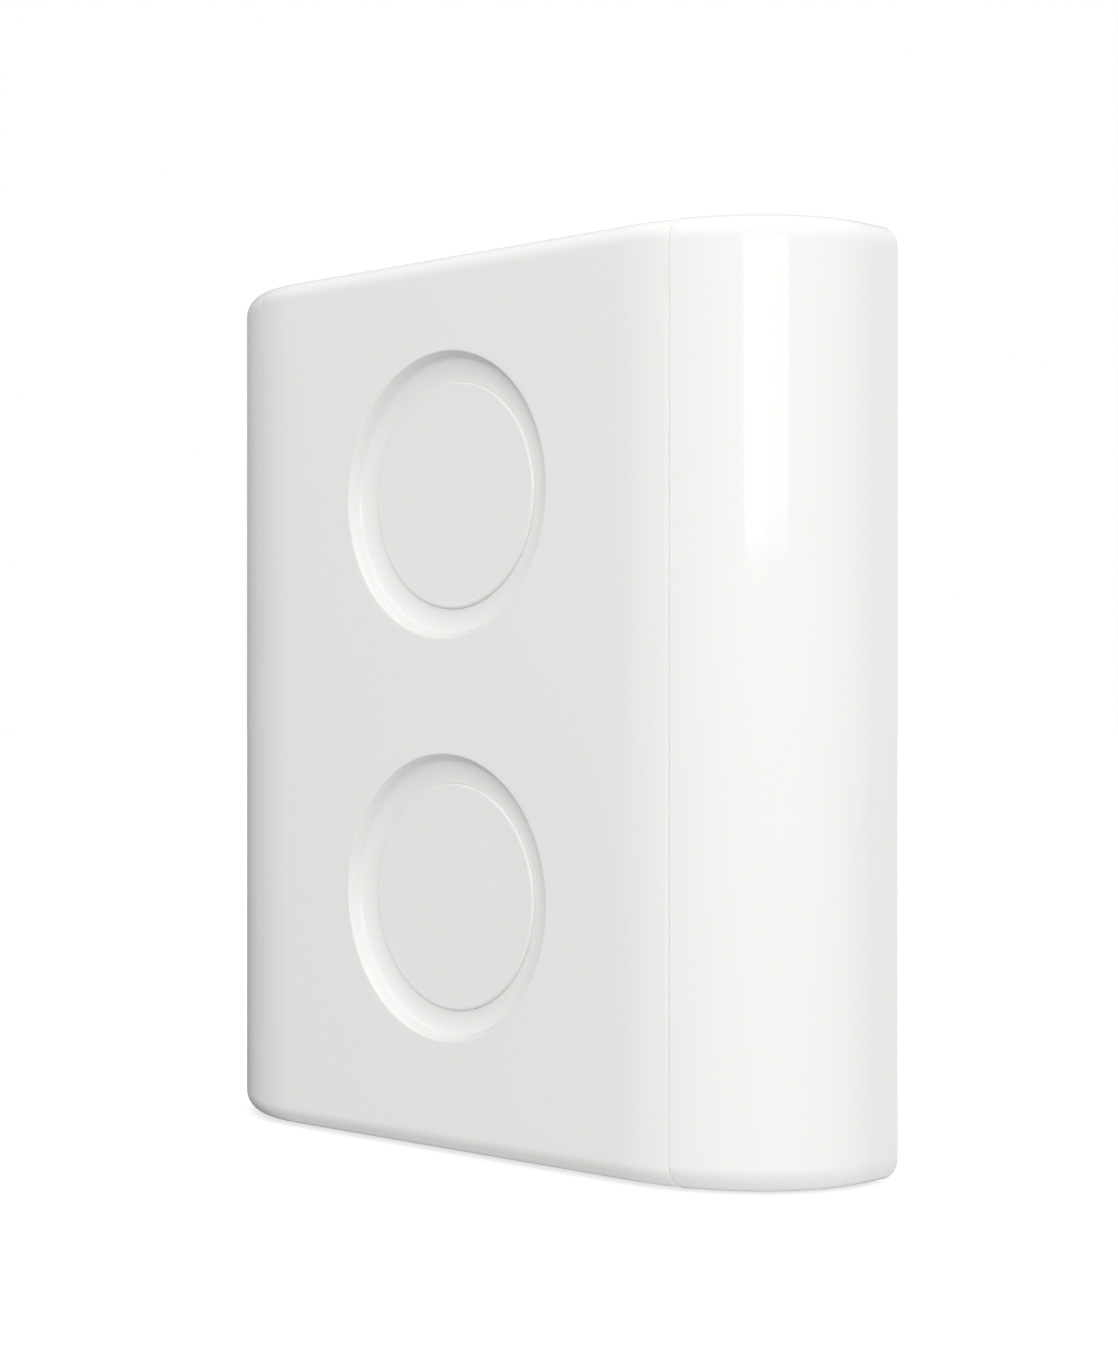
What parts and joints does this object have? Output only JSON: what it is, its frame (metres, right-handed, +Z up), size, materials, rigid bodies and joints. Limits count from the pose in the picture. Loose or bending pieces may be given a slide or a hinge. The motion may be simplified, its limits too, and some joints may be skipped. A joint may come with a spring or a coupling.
{
  "type": "doorbell",
  "caption": "Rounded square wall doorbell with two round push pads in dished recesses, a middle cover band, side cheeks and a hook-on wall plate.",
  "frame": {"origin": "middle of the wall plate's flat back face, on the wall plane", "axes": "+X right as seen from the front, +Y from the front face into the wall, +Z up"},
  "size_m": [0.0842, 0.0194, 0.0904],
  "materials": {
    "gloss_white": "gloss moulded plastic",
    "satin_white": "satin moulded plastic",
    "grey_plastic": "fine matte moulded plastic",
    "silicone": "matte silicone",
    "foam": "closed-cell foam tape with a paper liner",
    "board_green": "solder-masked circuit board",
    "black_resin": "moulded resin",
    "clear_resin": "milky clear resin",
    "bright_metal": "nickel plated",
    "screw_steel": "zinc plated"
  },
  "bodies": {
    "wall_plate": {"wall_plate": "satin_white", "adhesive_tape_1": "foam", "adhesive_tape_2": "foam", "adhesive_tape_3": "foam", "adhesive_tape_4": "foam"},
    "case": {"rear_housing": "gloss_white", "front_cover": "gloss_white", "cover_seal": "silicone", "button_carrier": "grey_plastic", "main_board": "board_green", "upper_button_membrane": "silicone", "upper_switch_body": "black_resin", "upper_status_led": "clear_resin", "lower_button_membrane": "silicone", "lower_switch_body": "black_resin", "lower_status_led": "clear_resin", "radio_board": "board_green", "radio_shield": "bright_metal", "processor_chip": "black_resin", "timing_crystal": "bright_metal", "antenna_strip": "bright_metal", "storage_capacitor": "black_resin", "battery_holder": "black_resin", "battery_cell": "bright_metal", "positive_contact": "bright_metal", "negative_contact": "bright_metal", "battery_door_seal": "silicone", "case_screw_1": "screw_steel", "case_screw_2": "screw_steel", "case_screw_3": "screw_steel", "case_screw_4": "screw_steel", "carrier_screw_1": "screw_steel", "carrier_screw_2": "screw_steel", "carrier_screw_3": "screw_steel", "carrier_screw_4": "screw_steel", "board_screw_1": "screw_steel", "board_screw_2": "screw_steel", "board_screw_3": "screw_steel", "board_screw_4": "screw_steel"},
    "upper_button": {"upper_button_cap": "gloss_white"},
    "lower_button": {"lower_button_cap": "gloss_white"},
    "upper_plunger": {"upper_switch_plunger": "grey_plastic"},
    "lower_plunger": {"lower_switch_plunger": "grey_plastic"},
    "battery_door": {"battery_door": "satin_white"}
  },
  "joints": [
    {"name": "unit_lift", "type": "slide", "parent": "wall_plate", "child": "case", "axis": [0, 0, 1], "range_m": [0, 0.003]},
    {"name": "upper_button_press", "type": "slide", "parent": "case", "child": "upper_button", "axis": [0, 1, 0], "range_m": [0, 0.0006], "stiffness_N_per_m": 1500, "springref_m": -0.0004, "deforming": ["upper_button_membrane"]},
    {"name": "lower_button_press", "type": "slide", "parent": "case", "child": "lower_button", "axis": [0, 1, 0], "range_m": [0, 0.0006], "stiffness_N_per_m": 1500, "springref_m": -0.0004, "deforming": ["lower_button_membrane"]},
    {"name": "upper_plunger_slide", "type": "slide", "parent": "case", "child": "upper_plunger", "axis": [0, 1, 0], "range_m": [0, 0.0006]},
    {"name": "lower_plunger_slide", "type": "slide", "parent": "case", "child": "lower_plunger", "axis": [0, 1, 0], "range_m": [0, 0.0006]},
    {"name": "battery_door_turn", "type": "hinge", "parent": "case", "child": "battery_door", "pos_m": [0, -0.003, -0.0175], "axis": [0, 1, 0], "range_deg": [0, 60]}
  ],
  "couplings": [
    {"joint": "upper_plunger_slide", "follows": "upper_button_press", "ratio": 1},
    {"joint": "lower_plunger_slide", "follows": "lower_button_press", "ratio": 1}
  ]
}
